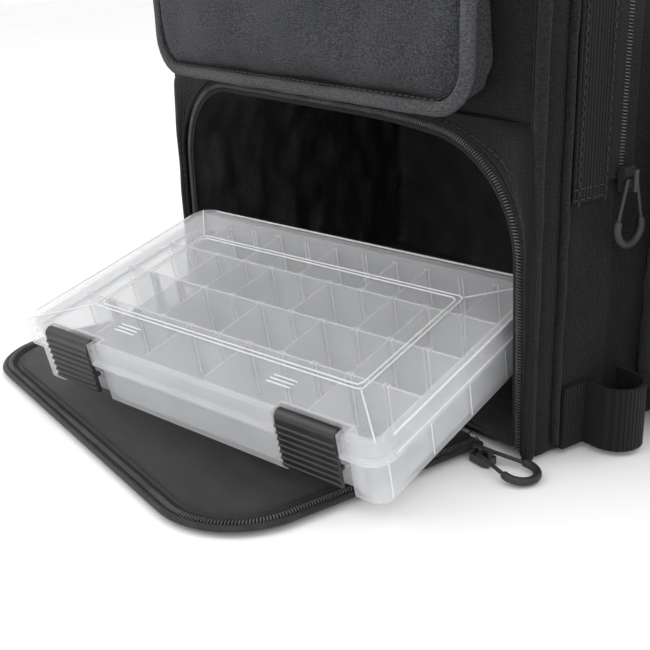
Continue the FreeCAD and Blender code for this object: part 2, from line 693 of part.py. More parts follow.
def zip_pull():
    """A cord loop with a moulded grip round its far end; it turns about Y and hangs along -Z."""
    centre = V(0, 0, -PULL_LENGTH + PULL_RADIUS)
    reach = math.hypot(PULL_EYE, centre.z)
    lean = math.atan2(PULL_EYE, -centre.z)
    spread = math.acos(PULL_RADIUS / reach)
    angle = math.pi / 2 - lean - spread
    tangent = V(0, PULL_RADIUS * math.cos(angle), centre.z + PULL_RADIUS * math.sin(angle))
    pieces = [cylinder(PULL_CORD, V(0, -PULL_EYE, 0), V(0, PULL_EYE, 0))]
    for side in (-1, 1):
        eye = V(0, side * PULL_EYE, 0)
        pieces.append(Part.makeSphere(PULL_CORD, eye))
        pieces.append(cylinder(PULL_CORD, eye, V(0, side * tangent.y, tangent.z)))
        pieces.append(Part.makeSphere(PULL_GRIP, V(0, side * tangent.y, tangent.z)))
    sweep = 180 + 2 * math.degrees(angle)
    grip = Part.makeTorus(PULL_RADIUS, PULL_GRIP, V(0, 0, 0), Z_AXIS, 0, 360, sweep)
    grip.rotate(V(0, 0, 0), Z_AXIS, -90 - sweep / 2)
    grip.rotate(V(0, 0, 0), X_AXIS, 90)
    grip.rotate(V(0, 0, 0), Z_AXIS, 90)
    grip.translate(centre)
    pieces.append(grip)
    return fused(pieces)


def placed(shape, at, turns):
    copy = shape.copy()
    for axis, angle in turns:
        copy.rotate(V(0, 0, 0), axis, angle)
    copy.translate(at)
    return copy


def lying_pull_sag():
    """How far a pull that lies flat dips from its axis until its grip is just over the surface below."""
    return math.degrees(math.asin((pull_axis_height() - PULL_GRIP) / PULL_LENGTH))


def side_slider_origin():
    return V(BAG_HALF + MAIN_ZIP_THICKNESS + SLIDER_GAP, FRONT + MAIN_ZIP_SETBACK, MAIN_ZIP_FOOT)


def side_zip_slider(side):
    return sided(placed(slider(), side_slider_origin(), []), side)


def side_zip_pull(side):
    return sided(placed(zip_pull(), side_slider_origin() + V(pull_axis_height(), 0, 0), []), side)


def pocket_slider_origin():
    half, floor, top = front_pocket_sizes()
    return V(FRONT_POCKET_CORNER - half + SLIDER_LENGTH, FRONT - FRONT_POCKET_ZIP_OUT,
             top + MAIN_ZIP_THICKNESS + SLIDER_GAP)


def pocket_zip_slider():
    return placed(slider(), pocket_slider_origin(), [(Y_AXIS, -90)])


def pocket_zip_pull():
    axis = pocket_slider_origin() + V(0, 0, pull_axis_height())
    return placed(zip_pull(), axis, [(Y_AXIS, -90 + lying_pull_sag())])


def tray_slider_origin():
    """Beside the flap's root, at the foot of the opening's zip, just above the floor."""
    return V(FLAP_HALF + SLIDER_WIDTH, FRONT - TRAY_SLIDER_OUT, SLIDER_GAP)



def tray_zip_slider():
    return placed(slider(), tray_slider_origin(), [(Y_AXIS, -90), (Z_AXIS, 180 + TRAY_PULL_TURN)])


def tray_zip_pull():
    axis = tray_slider_origin() + V(0, 0, pull_axis_height())
    return placed(zip_pull(), axis, [(Y_AXIS, -90 + lying_pull_sag()), (Z_AXIS, TRAY_PULL_TURN)])


# ---- carrying gear ----------------------------------------------------------------------------------
def band_in_side_view(points, thickness, x0, x1):
    """A strap of even thickness along a chain of points in Y and Z, as wide as x0 to x1."""
    offset = []
    for index, (y, z) in enumerate(points):
        before = points[max(index - 1, 0)]
        after = points[min(index + 1, len(points) - 1)]
        dy, dz = after[0] - before[0], after[1] - before[1]
        size = math.hypot(dy, dz)
        offset.append((y - thickness * dz / size, z + thickness * dy / size))
    loop = [V(x0, y, z) for y, z in points + list(reversed(offset))]
    return Part.Face(Part.makePolygon(loop + [loop[0]])).extrude(V(x1 - x0, 0, 0))


def strap_points():
    """The strap's inner line: sewn on high up, bowed away from the back, and back in near its foot."""
    inner = BACK + STRAP_PAD_GAP
    low = STRAP_BOTTOM
    span = STRAP_TOP - STRAP_BOTTOM
    points = []
    for step in range(STRAP_STEPS + 1):
        share = step / STRAP_STEPS
        bow = STRAP_STAND * math.sin(math.pi * share) ** STRAP_FULLNESS
        points.append((inner + PAD_THICKNESS * (1 - share) + bow, low + span * share))
    return points


def shoulder_strap(side):
    x0 = STRAP_SPACING - STRAP_WIDTH / 2
    return sided(band_in_side_view(strap_points(), -STRAP_THICKNESS, x0, x0 + STRAP_WIDTH), side)


def ladder_lock(side):
    foot_y, foot_z = strap_points()[0]
    z1 = foot_z - STRAP_LOCK_GAP
    z0 = z1 - LOCK_HEIGHT
    half = LOCK_WIDTH / 2
    bar = LOCK_BAR
    frame = box(STRAP_SPACING - half, STRAP_SPACING + half, foot_y, foot_y + LOCK_THICKNESS, z0, z1)
    slot_height = (LOCK_HEIGHT - 3 * bar) / 2
    slots = [box(STRAP_SPACING - half + bar, STRAP_SPACING + half - bar, foot_y - 1, foot_y + LOCK_THICKNESS + 1,
                 z0 + bar + index * (slot_height + bar), z0 + bar + index * (slot_height + bar) + slot_height)
             for index in (0, 1)]
    return sided(frame.cut(Part.makeCompound(slots)), side)


def strap_tail(side):
    """Webbing from the bag's foot up to the ladder lock's lower bar."""
    foot_y, foot_z = strap_points()[0]
    top = foot_z - STRAP_LOCK_GAP - LOCK_HEIGHT - STRAP_PAD_GAP / 2
    low = PAD_FLOOR - LOCK_HEIGHT
    half = TAIL_WIDTH / 2
    points = [(BACK + STRAP_PAD_GAP / 2, low), (BACK + STRAP_PAD_GAP / 2, low + LOCK_HEIGHT / 2),
              (foot_y + LOCK_THICKNESS / 2, top)]
    return sided(band_in_side_view(points, -TAIL_THICKNESS, STRAP_SPACING - half, STRAP_SPACING + half), side)


def back_pads():
    """Two upright pads down the middle of the back, between the shoulder straps."""
    pads = []
    for side in (-1, 1):
        pad = front_slab(PAD_OFFSET - PAD_WIDTH / 2, PAD_OFFSET + PAD_WIDTH / 2, PAD_FLOOR, PAD_FLOOR + PAD_HEIGHT,
                         PAD_THICKNESS, PAD_THICKNESS, BACK, BACK + PAD_THICKNESS)
        pads.append(sided(pad, side))
    return Part.makeCompound(pads)


def handle_axis():
    return V(0, BACK - HANDLE_SETBACK, BAG_HEIGHT + HANDLE_THICKNESS / 2 + HANDLE_GAP)


def top_handle():
    """A flat arch of webbing that flops forward or back about the seam it is sewn into."""
    axis = handle_axis()
    half_thick = HANDLE_THICKNESS / 2
    arch = arch_band(HANDLE_HALF, axis.z + HANDLE_RISE, HANDLE_RISE - 1, HANDLE_STRIP, axis.z,
                     axis.y - half_thick, axis.y + half_thick)
    feet = [cylinder(half_thick, V(side * HANDLE_HALF, axis.y, axis.z),
                     V(side * (HANDLE_HALF - HANDLE_STRIP), axis.y, axis.z)) for side in (-1, 1)]
    return fused([arch] + feet)


def build():
    os.makedirs("parts", exist_ok=True)
    save(base_panel(), "base_panel")
    save(back_panel(), "back_panel")
    save(main_front_panel(), "main_front_panel")
    save(top_panel(), "top_panel")
    save(tray_pocket_ceiling(), "tray_pocket_ceiling")
    save(tray_pocket_front(), "tray_pocket_front")
    save(tray_opening_zip(), "tray_opening_zip")
    save(tray_flap(), "tray_flap")
    save(flap_zip(), "flap_zip")
    save(front_pocket(), "front_pocket")
    save(front_pocket_piping(), "front_pocket_piping")
    save(front_pocket_zip(), "front_pocket_zip")
    save(main_zip(), "main_zip")
    save(back_pads(), "back_pads")
    save(top_handle(), "top_handle")
    save(pocket_zip_slider(), "pocket_zip_slider")
    save(pocket_zip_pull(), "pocket_zip_pull")
    save(tray_zip_slider(), "tray_zip_slider")
    save(tray_zip_pull(), "tray_zip_pull")
    save(placed_tray_part(tray_base()), "tray_base")
    save(placed_tray_part(tray_lid()), "tray_lid")
    save(placed_tray_part(tray_dividers()), "tray_dividers")
    sided_parts = {"side_panel": side_panel, "side_pocket": side_pocket, "side_pocket_piping": side_pocket_piping,
                   "side_piping": side_piping, "side_webbing": side_webbing, "rod_loop": rod_loop,
                   "side_zip_slider": side_zip_slider, "side_zip_pull": side_zip_pull,
                   "shoulder_strap": shoulder_strap, "ladder_lock": ladder_lock, "strap_tail": strap_tail}
    for side, word in ((-1, "left"), (1, "right")):
        for name, make in sided_parts.items():
            save(make(side), name + "_" + word)
        save(placed_tray_part(tray_latch(side)), "tray_latch_" + word)


build()
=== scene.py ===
"""Looks of a tackle backpack: fabric shell, pockets, zippers, straps and a clear tackle tray."""
import json
import math

import bmesh
import bpy
from mathutils import Matrix, Vector, noise


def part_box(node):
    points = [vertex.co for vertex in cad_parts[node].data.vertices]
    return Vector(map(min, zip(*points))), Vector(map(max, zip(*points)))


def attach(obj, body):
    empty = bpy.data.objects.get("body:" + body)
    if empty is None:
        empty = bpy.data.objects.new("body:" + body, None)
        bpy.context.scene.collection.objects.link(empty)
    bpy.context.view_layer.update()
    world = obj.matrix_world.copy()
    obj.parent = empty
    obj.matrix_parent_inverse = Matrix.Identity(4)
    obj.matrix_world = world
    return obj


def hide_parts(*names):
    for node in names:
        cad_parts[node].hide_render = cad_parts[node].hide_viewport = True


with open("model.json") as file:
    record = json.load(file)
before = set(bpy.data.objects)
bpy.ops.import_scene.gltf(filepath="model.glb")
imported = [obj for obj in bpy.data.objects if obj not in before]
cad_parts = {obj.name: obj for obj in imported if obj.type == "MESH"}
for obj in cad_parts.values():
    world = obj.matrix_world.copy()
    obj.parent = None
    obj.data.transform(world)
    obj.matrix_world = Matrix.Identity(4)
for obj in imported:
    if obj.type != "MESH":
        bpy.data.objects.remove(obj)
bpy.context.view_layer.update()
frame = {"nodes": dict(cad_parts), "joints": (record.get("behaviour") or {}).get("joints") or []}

# Sizes, in metres.
SIDES = ((-1, "left"), (1, "right"))
COIL_PITCH = 0.0017
COIL_RADIUS = 0.0013
COIL_WIRE = 0.00042
COIL_POINTS_PER_TURN = 8
STITCH = 0.0032
STITCH_GAP = 0.0018
THREAD = 0.00035
SHELL_CLOTH = 0.003
BASE_CLOTH = 0.002
TAPE_WIDTH = 0.009
TAPE_THICKNESS = 0.0008
TRIM_CORNER = 0.023
OPENING_CORNER = 0.064
FLAP_CORNER = 0.05
CORNER_STEPS = 16
TRAY_LENGTH = 0.275
TRAY_DEPTH = 0.168
TRAY_HEIGHT = 0.0415
LID_SKIRT = 0.0125
FIRST_ROW_WALL = -0.0716
ROW_PITCH = 0.0372

# Shares and counts.
CLOTH_GLOSS = 0.15
CLOTH_PRESSURE = 4.0
CLOTH_FRAMES = 16

# Places and sizes taken from the frame.
front_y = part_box("tray_pocket_front")[0].y
back_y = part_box("back_panel")[1].y
body_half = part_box("tray_pocket_front")[1].x
body_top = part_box("back_panel")[1].z
lower_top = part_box("tray_pocket_front")[1].z
shoulder_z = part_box("side_panel_right")[1].z
shoulder_radius = body_top - shoulder_z
opening_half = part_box("tray_opening_zip")[1].x
opening_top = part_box("tray_opening_zip")[1].z
opening_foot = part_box("tray_opening_zip")[0].z


# ---- materials ---------------------------------------------------------------------------------
def new_material(name, colour, roughness):
    mat = bpy.data.materials.new(name)
    mat.use_nodes = True
    shader = mat.node_tree.nodes["Principled BSDF"]
    shader.inputs["Base Color"].default_value = (*colour, 1)
    shader.inputs["Roughness"].default_value = roughness
    return mat, mat.node_tree, shader


def add_node(tree, kind, inputs=None, **settings):
    node = tree.nodes.new(kind)
    for key, value in settings.items():
        setattr(node, key, value)
    for key, value in (inputs or {}).items():
        if isinstance(value, bpy.types.NodeSocket):
            tree.links.new(value, node.inputs[key])
        else:
            node.inputs[key].default_value = value
    return node


def noise_node(tree, scale, detail=3.0, stretch=(1, 1, 1)):
    place = add_node(tree, "ShaderNodeTexCoord").outputs["Object"]
    mapped = add_node(tree, "ShaderNodeMapping", {"Vector": place, "Scale": stretch})
    return add_node(tree, "ShaderNodeTexNoise",
                    {"Vector": mapped.outputs["Vector"], "Scale": scale, "Detail": detail}).outputs["Fac"]


def thread_node(tree, axis, period):
    """Even threads across one axis of space, one per period in metres."""
    place = add_node(tree, "ShaderNodeTexCoord").outputs["Object"]
    # A wave texture's band is 2 pi / 20 of a unit wide at scale 1.
    return add_node(tree, "ShaderNodeTexWave",
                    {"Vector": place, "Scale": math.pi / 10 / period, "Distortion": 0.3},
                    bands_direction=axis).outputs["Fac"]


def math_node(tree, operation, first, second):
    return add_node(tree, "ShaderNodeMath", {0: first, 1: second}, operation=operation).outputs[0]


def weave_height(tree, period):
    across = math_node(tree, "ADD", thread_node(tree, "X", period), thread_node(tree, "Y", period))
    return math_node(tree, "ADD", across, thread_node(tree, "Z", period))


def blend_colours(tree, share, dark, light, low=0.35, high=0.65):
    ramp = add_node(tree, "ShaderNodeValToRGB", {"Fac": share})
    ramp.color_ramp.elements[0].position = low
    ramp.color_ramp.elements[0].color = (*dark, 1)
    ramp.color_ramp.elements[1].position = high
    ramp.color_ramp.elements[1].color = (*light, 1)
    return ramp.outputs["Color"]


def bump(tree, shader, height, strength, distance):
    node = add_node(tree, "ShaderNodeBump", {"Height": height, "Strength": strength, "Distance": distance})
    tree.links.new(node.outputs["Normal"], shader.inputs["Normal"])


def woven(name, dark, light, period=0.0011, sheen=0.05, roughness=0.85):
    """Heathered woven polyester: uneven yarn colour over a fine weave."""
    mat, tree, shader = new_material(name, dark, roughness)
    yarn = noise_node(tree, 620, 4, (1, 1, 2.2))
    patch = noise_node(tree, 14, 2)
    mottle = math_node(tree, "MULTIPLY_ADD", patch, 0.25)
    tree.links.new(yarn, mottle.node.inputs[2])
    tree.links.new(blend_colours(tree, mottle, dark, light, 0.48, 0.82), shader.inputs["Base Color"])
    height = math_node(tree, "ADD", weave_height(tree, period), yarn)
    bump(tree, shader, height, 0.55, 0.0004)
    shader.inputs["Sheen Weight"].default_value = sheen
    shader.inputs["Sheen Roughness"].default_value = 0.5
    shader.inputs["Specular IOR Level"].default_value = CLOTH_GLOSS
    return mat


def satin(name, dark, light):
    """Coated lining: smooth, with a soft shine and faint creases, and painted shade in the crease hollows
    with painted highlight on their ridges.
    """
    mat, tree, shader = new_material(name, dark, 0.48)
    crease_height_and_shade = noise_node(tree, 45, 5, (1, 2.5, 1))
    # Painted shade and highlight: the colour darkens in the crease hollows and lightens on the ridges,
    # following the crease height.
    tree.links.new(blend_colours(tree, crease_height_and_shade, dark, light), shader.inputs["Base Color"])
    height = math_node(tree, "MULTIPLY_ADD", crease_height_and_shade, 6.0)
    tree.links.new(weave_height(tree, 0.0009), height.node.inputs[2])
    bump(tree, shader, height, 0.35, 0.0006)
    shader.inputs["Sheen Weight"].default_value = 0.05
    shader.inputs["Specular IOR Level"].default_value = 0.3
    return mat


def webbing(name, axis, colour):
    """Ribbed webbing whose ribs are spaced along the given axis, with painted shade between the ribs and
    painted highlight on their tops.
    """
    mat, tree, shader = new_material(name, colour, 0.7)
    rib_height_and_shade = thread_node(tree, axis, 0.0022)
    # Painted highlight on the rib tops and painted shade between them: the colour follows the rib height.
    lighter = tuple(2.2 * c for c in colour)
    tree.links.new(blend_colours(tree, rib_height_and_shade, colour, lighter, 0.2, 0.9), shader.inputs["Base Color"])
    height = math_node(tree, "MULTIPLY_ADD", rib_height_and_shade, 3.0)
    tree.links.new(weave_height(tree, 0.0008), height.node.inputs[2])
    bump(tree, shader, height, 0.8, 0.0005)
    shader.inputs["Sheen Weight"].default_value = 0.04
    shader.inputs["Specular IOR Level"].default_value = CLOTH_GLOSS
    return mat


def mesh_fabric(name, colour):
    """Air mesh: small open cells over foam, with painted shade in the cell pits."""
    mat, tree, shader = new_material(name, colour, 0.85)
    place = add_node(tree, "ShaderNodeTexCoord").outputs["Object"]
    cells = add_node(tree, "ShaderNodeTexVoronoi", {"Vector": place, "Scale": 420}).outputs["Distance"]
    # Painted shade: the colour darkens in the cell pits, following the same height as the bump.
    lighter = tuple(2.4 * c for c in colour)
    tree.links.new(blend_colours(tree, cells, colour, lighter, 0.15, 0.6), shader.inputs["Base Color"])
    bump(tree, shader, cells, 0.9, 0.0008)
    shader.inputs["Sheen Weight"].default_value = 0.05
    shader.inputs["Specular IOR Level"].default_value = CLOTH_GLOSS
    return mat


def moulded(name, colour, roughness, speck=900):
    """Moulded black plastic, rubber or enamel with a fine grain and rubbed patches."""
    mat, tree, shader = new_material(name, colour, roughness)
    grain = noise_node(tree, speck, 3)
    wear = noise_node(tree, 60, 3)
    lighter = tuple(1.8 * c for c in colour)
    tree.links.new(blend_colours(tree, wear, colour, lighter), shader.inputs["Base Color"])
    gloss = add_node(tree, "ShaderNodeMapRange",
                     {"Value": wear, "To Min": roughness - 0.08, "To Max": roughness + 0.1}).outputs["Result"]
    tree.links.new(gloss, shader.inputs["Roughness"])
    bump(tree, shader, grain, 0.15, 0.0003)
    return mat


def clear_plastic(name, face_on, edge_on):
    """Milky polypropylene: see-through face on, whiter where it is seen along the wall."""
    mat, tree, shader = new_material(name, (0.9, 0.91, 0.93), 0.24)
    facing = add_node(tree, "ShaderNodeLayerWeight", {"Blend": 0.45}).outputs["Facing"]
    cloud = noise_node(tree, 30, 3)
    milk = add_node(tree, "ShaderNodeMapRange",
                    {"Value": facing, "From Min": 0.5, "To Min": face_on, "To Max": edge_on})
    uneven = add_node(tree, "ShaderNodeMapRange", {"Value": cloud, "To Min": 0.85, "To Max": 1.15})
    alpha = math_node(tree, "MULTIPLY", milk.outputs["Result"], uneven.outputs["Result"])
    tree.links.new(alpha, shader.inputs["Alpha"])
    bump(tree, shader, cloud, 0.12, 0.0008)
    shader.inputs["Subsurface Weight"].default_value = 0.3
    shader.inputs["Subsurface Radius"].default_value = (0.004, 0.004, 0.004)
    shader.inputs["Specular IOR Level"].default_value = 0.6
    return mat


charcoal = woven("charcoal_polyester", (0.0035, 0.0035, 0.004), (0.015, 0.015, 0.016))
heather = woven("heather_polyester", (0.016, 0.017, 0.019), (0.065, 0.067, 0.072))
grey_trim = woven("grey_piping_cloth", (0.034, 0.035, 0.037), (0.10, 0.102, 0.108), period=0.0009)
surround_cloth = woven("mouth_gusset_cloth", (0.0022, 0.0022, 0.0022), (0.007, 0.007, 0.008), roughness=0.6)
black_trim = woven("black_piping_cloth", (0.007, 0.007, 0.008), (0.022, 0.022, 0.024), period=0.0009)
lining = satin("pocket_lining", (0.018, 0.018, 0.020), (0.040, 0.040, 0.043))
flap_lining = satin("flap_lining", (0.012, 0.012, 0.014), (0.022, 0.022, 0.024))
tape = woven("zipper_tape", (0.006, 0.006, 0.006), (0.018, 0.018, 0.019), period=0.0008, roughness=0.75)
coil_plastic = moulded("zipper_coil", (0.05, 0.05, 0.053), 0.35)
thread = moulded("sewing_thread", (0.014, 0.014, 0.015), 0.6)
strap_web = webbing("strap_webbing", "X", (0.006, 0.006, 0.0065))
loop_web = webbing("loop_webbing", "Y", (0.005, 0.005, 0.0055))
foam_mesh = mesh_fabric("air_mesh", (0.012, 0.012, 0.013))
buckle_plastic = moulded("buckle_plastic", (0.014, 0.014, 0.015), 0.42)
slider_enamel = moulded("slider_enamel", (0.02, 0.02, 0.021), 0.28)
pull_rubber = moulded("pull_rubber", (0.012, 0.012, 0.013), 0.5)
latch_plastic = moulded("latch_plastic", (0.012, 0.012, 0.013), 0.4)
lid_plastic = clear_plastic("clear_lid", 0.17, 0.6)
base_plastic = clear_plastic("clear_base", 0.28, 0.75)
rib_plastic = clear_plastic("clear_divider", 0.24, 0.7)
# Milkier clear plastic for the edge lines: a painted highlight along the tray's moulded edges.
edge_highlight_plastic = clear_plastic("clear_edge_highlight", 0.6, 0.9)


# ---- mesh helpers --------------------------------------------------------------------------------
def finish_mesh(obj, mat, body):
    """Gives a new piece its material and its moving body, and shades it smooth."""
    obj.data.materials.clear()
    obj.data.materials.append(mat)
    for face in obj.data.polygons:
        face.use_smooth = True
    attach(obj, body)
    return obj


def object_from(name, points, faces):
    data = bpy.data.meshes.new(name)
    data.from_pydata([tuple(p) for p in points], [], faces)
    data.update()
    obj = bpy.data.objects.new(name, data)
    bpy.context.scene.collection.objects.link(obj)
    return obj


def grid_object(name, rows, closed=False):
    """A sheet of quads through rows of points."""
    count = len(rows[0])
    last = count if closed else count - 1
    faces = []
    for i in range(len(rows) - 1):
        for j in range(last):
            k = (j + 1) % count
            faces.append((i * count + j, i * count + k, (i + 1) * count + k, (i + 1) * count + j))
    return object_from(name, [p for row in rows for p in row], faces)


def close_holes(obj):
    """Fills the open edges of a mesh."""
    work = bmesh.new()
    work.from_mesh(obj.data)
    edges = [edge for edge in work.edges if edge.is_boundary]
    filled = bmesh.ops.holes_fill(work, edges=edges)["faces"]
    bmesh.ops.triangulate(work, faces=filled)
    bmesh.ops.recalc_face_normals(work, faces=work.faces)
    work.to_mesh(obj.data)
    work.free()


def apply_modifier(obj, kind, **settings):
    modifier = obj.modifiers.new(kind.lower(), kind)
    for key, value in settings.items():
        setattr(modifier, key, value)
    bpy.context.view_layer.objects.active = obj
    with bpy.context.temp_override(object=obj, active_object=obj, selected_objects=[obj]):
        bpy.ops.object.modifier_apply(modifier=modifier.name)


def thicken(obj, thickness, offset=-1.0):
    apply_modifier(obj, "SOLIDIFY", thickness=thickness, offset=offset)


def wrinkle(place, size, depth):
    """A smooth, repeatable dent or bulge at a place."""
    return depth * noise.noise(Vector(place) / size)


def even_path(points, step):
    """The same line through points, cut into even steps."""
    lengths = [0.0]
    for a, b in zip(points, points[1:]):
        lengths.append(lengths[-1] + (Vector(b) - Vector(a)).length)
    count = max(2, round(lengths[-1] / step))
    out = []
    k = 0
    for i in range(count + 1):
        target = lengths[-1] * i / count
        while k < len(points) - 2 and lengths[k + 1] < target:
            k += 1
        share = (target - lengths[k]) / max(lengths[k + 1] - lengths[k], 1e-9)
        out.append(Vector(points[k]).lerp(Vector(points[k + 1]), min(share, 1.0)))
    return out


def path_frames(points, out_of):
    """At each point: the point, the direction along, the direction out of the surface, and the one across."""
    frames = []
    for i, p in enumerate(points):
        along = (points[min(i + 1, len(points) - 1)] - points[max(i - 1, 0)]).normalized()
        out = Vector(out_of(p)) if callable(out_of) else Vector(out_of)
        across = along.cross(out).normalized()
        frames.append((p, along, across.cross(along).normalized(), across))
    return frames


def tube_from(name, lines, radius, sides):
    """Round wire of one radius along one or more lines, as a mesh."""
    curve = bpy.data.curves.new(name, "CURVE")
    curve.dimensions = "3D"
    curve.bevel_depth = radius
    curve.bevel_resolution = sides
    curve.use_fill_caps = True
    for line in lines:
        spline = curve.splines.new("POLY")
        spline.points.add(len(line) - 1)
        for point, p in zip(spline.points, line):
            point.co = (*p, 1)
    made = bpy.data.objects.new(name + "_line", curve)
    bpy.context.scene.collection.objects.link(made)
    bpy.context.view_layer.update()
    data = bpy.data.meshes.new_from_object(made.evaluated_get(bpy.context.evaluated_depsgraph_get()))
    bpy.data.objects.remove(made)
    obj = bpy.data.objects.new(name, data)
    bpy.context.scene.collection.objects.link(obj)
    return obj


def coil(name, points, out_of, body, raised):
    """A nylon coil: a fine wire wound round the line that it follows."""
    step = COIL_PITCH / COIL_POINTS_PER_TURN
    line = []
    for i, (p, along, out, across) in enumerate(path_frames(even_path(points, step), out_of)):
        turn = math.tau * i / COIL_POINTS_PER_TURN
        height = raised + COIL_RADIUS * 0.75 * math.sin(turn)
        line.append(p + out * height + across * COIL_RADIUS * 1.25 * math.cos(turn))
    return finish_mesh(tube_from(name, [line], COIL_WIRE, 1), coil_plastic, body)


def stitches(name, points, out_of, body):
    """A row of sewn stitches along a line."""
    lines = []
    frames = path_frames(even_path(points, STITCH + STITCH_GAP), out_of)
    for p, along, out, across in frames[:-1]:
        ends = [p - along * STITCH / 2 - out * THREAD, p - along * STITCH / 4 + out * THREAD * 0.6,
                p + along * STITCH / 4 + out * THREAD * 0.6, p + along * STITCH / 2 - out * THREAD]
        lines.append(ends)
    return finish_mesh(tube_from(name, lines, THREAD, 1), thread, body)


def band(name, points, out_of, width, thickness, mat, body, crown=0.0):
    """A flat strip of cloth or tape along a line."""
    rows = []
    columns = 6
    for p, along, out, across in path_frames(points, out_of):
        row = []
        for j in range(columns + 1):
            share = j / columns * 2 - 1
            row.append(p + across * width / 2 * share + out * (crown * (1 - share * share)))
        rows.append(row)
    obj = grid_object(name, rows)
    thicken(obj, thickness, 0.0)
    apply_modifier(obj, "BEVEL", width=thickness * 0.3, segments=2, limit_method="ANGLE")
    return finish_mesh(obj, mat, body)


def piping(name, points, radius, mat, body):
    """A cord wrapped in cloth, slightly uneven along its length."""
    line = []
    for p in even_path(points, 0.006):
        shake = wrinkle(p, 0.02, 0.0006)
        line.append(p + Vector((shake, wrinkle(p + Vector((1, 0, 0)), 0.025, 0.0006), shake)))
    return finish_mesh(tube_from(name, [line], radius, 4), mat, body)


def box_diagonal(points):
    """The size of a group of mesh points, whatever order they come in."""
    spans = [max(v.co[axis] for v in points) - min(v.co[axis] for v in points) for axis in range(3)]
    return Vector(spans).length


def largest_island(data):
    """Keeps the outer skin of a hollow solid."""
    work = bmesh.new()
    work.from_mesh(data)
    bmesh.ops.remove_doubles(work, verts=work.verts, dist=1e-6)
    left = set(work.verts)
    groups = []
    while left:
        seed = left.pop()
        group = {seed}
        edge = [seed]
        while edge:
            here = edge.pop()
            for link in here.link_edges:
                other = link.other_vert(here)
                if other in left:
                    left.discard(other)
                    group.add(other)
                    edge.append(other)
        groups.append(group)
    keep = max(groups, key=box_diagonal)
    bmesh.ops.delete(work, geom=[v for v in work.verts if v not in keep], context="VERTS")
    work.to_mesh(data)
    work.free()


def inflate(obj, pressure, frames, cap):
    """Blows the piece up as a stuffed bag with Blender's cloth, then holds each point within the cap."""
    before = [v.co.copy() for v in obj.data.vertices]
    modifier = obj.modifiers.new("cloth", "CLOTH")
    modifier.settings.use_pressure = True
    modifier.settings.uniform_pressure_force = pressure
    modifier.settings.effector_weights.gravity = 0
    modifier.settings.quality = 4
    modifier.settings.mass = 0.3
    scene = bpy.context.scene
    for number in range(1, frames + 1):
        scene.frame_set(number)
    after = obj.evaluated_get(bpy.context.evaluated_depsgraph_get()).to_mesh()
    moved = [v.co.copy() for v in after.vertices]
    obj.modifiers.remove(modifier)
    scene.frame_set(1)
    for vertex, old, new in zip(obj.data.vertices, before, moved):
        step = new - old
        if step.length > cap:
            step *= cap / step.length
        vertex.co = old + step


def stuffed(name, node, body, mat, voxel, cap, shrink, only_outer=True, creases=0.0):
    """A padded piece made from a soft solid: remeshed, drawn in, blown up again and subdivided."""
    obj = bpy.data.objects.new(name, frame["nodes"][node].data.copy())
    bpy.context.scene.collection.objects.link(obj)
    if only_outer:
        largest_island(obj.data)
    apply_modifier(obj, "REMESH", mode="VOXEL", voxel_size=voxel)
    apply_modifier(obj, "SMOOTH", factor=0.5, iterations=6)
    apply_modifier(obj, "DISPLACE", strength=-shrink, mid_level=0.0)
    inflate(obj, CLOTH_PRESSURE, CLOTH_FRAMES, cap)
    for vertex in obj.data.vertices:
        vertex.co += vertex.normal * wrinkle(vertex.co, 0.035, creases)
    apply_modifier(obj, "SUBSURF", levels=1)
    finish_mesh(obj, mat, body)
    return obj


def arch(half, top, radius, foot, y, step=0.004, sag=None):
    """A line up the right side, over the top and down the left, in a plane across the bag."""
    points = [Vector((half, y, foot)), Vector((half, y, top - radius))]
    for i in range(1, CORNER_STEPS):
        angle = math.pi / 2 * i / CORNER_STEPS
        x = half - radius + radius * math.cos(angle)
        points.append(Vector((x, y, top - radius + radius * math.sin(angle))))
    points.append(Vector((half - radius, y, top)))
    points += [Vector((-p.x, p.y, p.z)) for p in reversed(points)]
    line = even_path(points, step)
    return [sag(p) for p in line] if sag else line


def opening_sag(p):
    """The mouth is stretched at its lower right and droops at its upper right."""
    stretch = 0.0075
    deepest_droop = 0.009
    droop_place = 0.125
    droop_width = 0.06
    full_droop_height = 0.12
    low = max(0.0, 1 - p.z / opening_top)
    share = max(0.0, p.x / opening_half)
    droop = deepest_droop * share ** 2 * math.exp(-((p.x - droop_place) / droop_width) ** 2)
    droop *= min(1.0, p.z / full_droop_height)
    return Vector((p.x + stretch * share * low ** 0.7, p.y, p.z - droop))


# ---- bag shell -----------------------------------------------------------------------------------
def mouth_surround():
    """The padded front gusset round the tray pocket's mouth, out to the bag's edge."""
    border = 0.003
    foot = 0.001
    seam_share = 0.22
    inner = arch(opening_half + border, opening_top + border, OPENING_CORNER + border, foot, front_y,
                 sag=opening_sag)
    outer = []
    for p in inner:
        reach = Vector((p.x, 0, p.z)).normalized()
        stretch = min(body_half / max(abs(reach.x), 1e-6), lower_top / max(abs(reach.z), 1e-6))
        outer.append(Vector((reach.x * stretch, front_y, reach.z * stretch)))
    for end in (0, -1):
        outer[end] = Vector((math.copysign(body_half, inner[end].x), front_y, foot))
    rows = []
    layers = 10
    for k in range(layers + 1):
        share = k / layers
        row = []
        for a, b in zip(inner, outer):
            p = a.lerp(b, share)
            side = min(1.0, max(0.0, (abs(p.x) - 0.16) / 0.02))
            puff = 0.0035 * side * math.sin(math.pi * share) ** 0.7
            seam = -0.0012 * math.exp(-((share - seam_share) / 0.06) ** 2)
            roll = 0.005 * max(0.0, share - 0.8) / 0.2
            p.y -= puff + seam - roll * side - 0.0005 + wrinkle(p, 0.03, 0.0012) * side
            row.append(p)
        rows.append(row)
    obj = grid_object("mouth_surround", rows)
    thicken(obj, SHELL_CLOTH, 1.0)
    apply_modifier(obj, "SUBSURF", levels=1)
    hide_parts("tray_pocket_front")
    finish_mesh(obj, surround_cloth, "pack")
    seam_line = [a.lerp(b, seam_share) + Vector((0, -0.001, 0)) for a, b in zip(inner, outer)]
    stitches("mouth_topstitch", seam_line, (0, -1, 0), "pack")


